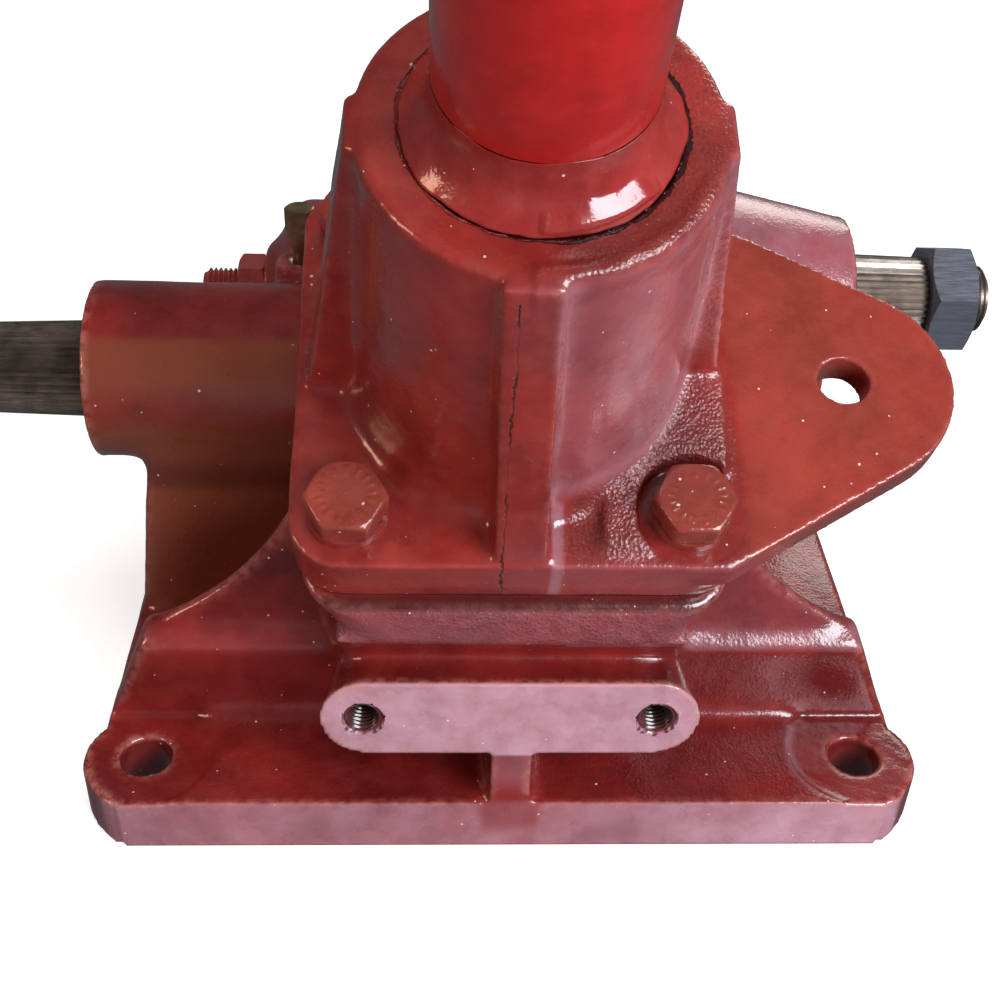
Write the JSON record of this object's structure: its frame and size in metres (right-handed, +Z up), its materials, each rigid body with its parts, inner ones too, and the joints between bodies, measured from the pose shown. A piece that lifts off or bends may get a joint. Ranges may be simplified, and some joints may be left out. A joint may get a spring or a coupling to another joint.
{
  "type": "right angle steering gearbox",
  "caption": "Cast gearbox with an inclined worm column that turns two offset parallel cross shafts with tapered serrated ends.",
  "frame": {"origin": "centre of the four base holes on the base's bottom face", "axes": "+X along the cross shafts, +Y to the back, +Z up"},
  "size_m": [0.4246, 0.335, 0.4224],
  "materials": {
    "housing_enamel": "gloss oxide-red enamel over rough castings",
    "cover_enamel": "gloss oxide-red enamel over rough castings",
    "tube_enamel": "high gloss enamel",
    "collar_enamel": "glossy painted bead",
    "bolt_enamel": "painted over",
    "gasket": "compressed fibre",
    "oiled_steel": "oily machined steel",
    "machined_steel": "ground",
    "blackened_steel": "blue-grey oxide",
    "brass": "dull",
    "bronze": "machined",
    "seal_rubber": "matt",
    "nylon": "matt"
  },
  "bodies": {
    "gearcase": {"bearing_ball_sets": "machined_steel", "bearing_outer_rings": "machined_steel", "column_cover": "cover_enamel", "column_top_bush": "nylon", "column_top_seal": "seal_rubber", "column_tube": "tube_enamel", "cover_bolts": "bolt_enamel", "cover_gasket": "gasket", "cover_spring_washers": "bolt_enamel", "drain_plug": "bolt_enamel", "filler_plug": "brass", "front_adjuster_nut": "bolt_enamel", "front_adjuster_screw": "bolt_enamel", "front_shaft_bushes": "bronze", "front_shaft_seal": "seal_rubber", "housing": "housing_enamel", "locating_dowels": "machined_steel", "rear_adjuster_nut": "bolt_enamel", "rear_adjuster_screw": "bolt_enamel", "rear_shaft_bushes": "bronze", "rear_shaft_seal": "seal_rubber", "thrust_washers": "bronze", "weld_collar": "collar_enamel"},
    "input": {"input_shaft": "oiled_steel", "bearing_inner_rings": "machined_steel"},
    "nut": {"ball_nut": "machined_steel", "nut_balls": "machined_steel", "ball_return_tube": "machined_steel"},
    "front_output": {"front_cross_shaft": "oiled_steel", "front_sector": "machined_steel", "front_key": "machined_steel", "front_retaining_ring": "machined_steel", "front_shaft_nut": "blackened_steel"},
    "rear_output": {"rear_cross_shaft": "oiled_steel", "rear_sector": "machined_steel", "rear_key": "machined_steel", "rear_retaining_ring": "machined_steel", "rear_shaft_nut": "blackened_steel"}
  },
  "joints": [
    {"name": "front_shaft_turn", "type": "hinge", "parent": "gearcase", "child": "front_output", "pos_m": [0, 0.009, 0.1135], "axis": [1, 0, 0], "range_deg": [-35, 35]},
    {"name": "rear_shaft_turn", "type": "hinge", "parent": "gearcase", "child": "rear_output", "pos_m": [0, 0.075, 0.1135], "axis": [1, 0, 0], "range_deg": [-35, 35]},
    {"name": "input_turn", "type": "hinge", "parent": "gearcase", "child": "input", "pos_m": [0, -0.0683, 0.1615], "axis": [0, -0.4695, 0.8829], "range_deg": [-528.3, 528.3]},
    {"name": "nut_slide", "type": "slide", "parent": "gearcase", "child": "nut", "axis": [0, -0.4695, 0.8829], "range_m": [-0.0147, 0.0147]}
  ],
  "couplings": [
    {"joint": "rear_shaft_turn", "follows": "front_shaft_turn", "ratio": -1},
    {"joint": "input_turn", "follows": "front_shaft_turn", "ratio": 15.08},
    {"joint": "nut_slide", "follows": "front_shaft_turn", "m_per_rad": -0.024}
  ]
}
